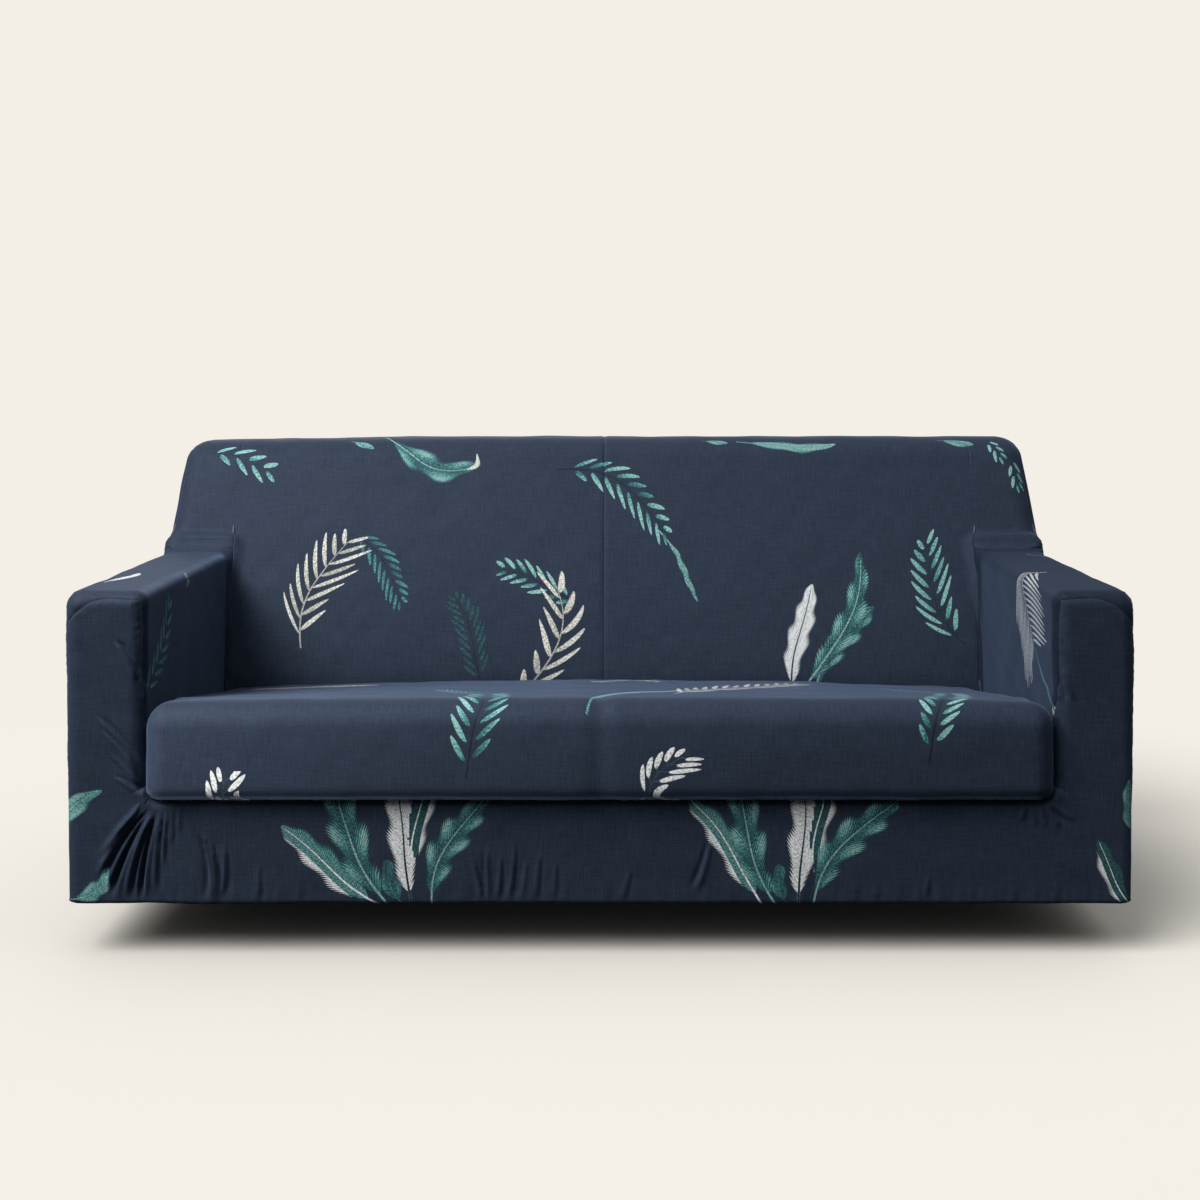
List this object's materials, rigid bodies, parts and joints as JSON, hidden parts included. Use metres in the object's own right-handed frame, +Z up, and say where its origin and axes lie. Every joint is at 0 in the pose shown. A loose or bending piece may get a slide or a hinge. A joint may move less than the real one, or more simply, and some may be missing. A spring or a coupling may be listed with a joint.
{
  "type": "sofa slipcover",
  "caption": "Fitted stretch slipcover for a small track-arm sofa: navy knit with a leaf print, hollow and open below, its elastic hem turned under.",
  "frame": {"origin": "under the cloth at the middle of the back's top, where the sofa's back holds the cover up", "axes": "+X to the right of someone who looks at the cover from the front, +Y to the rear, +Z up"},
  "size_m": [1.86, 0.9139, 0.7793],
  "materials": {
    "printed_jersey": "soft matt knit"
  },
  "bodies": {
    "root": {"rear_panel": "printed_jersey", "back_panel_left": "printed_jersey", "back_panel_right": "printed_jersey", "arm_panel_left": "printed_jersey", "arm_panel_right": "printed_jersey", "front_panel": "printed_jersey", "seat_panel": "printed_jersey"}
  },
  "joints": []
}
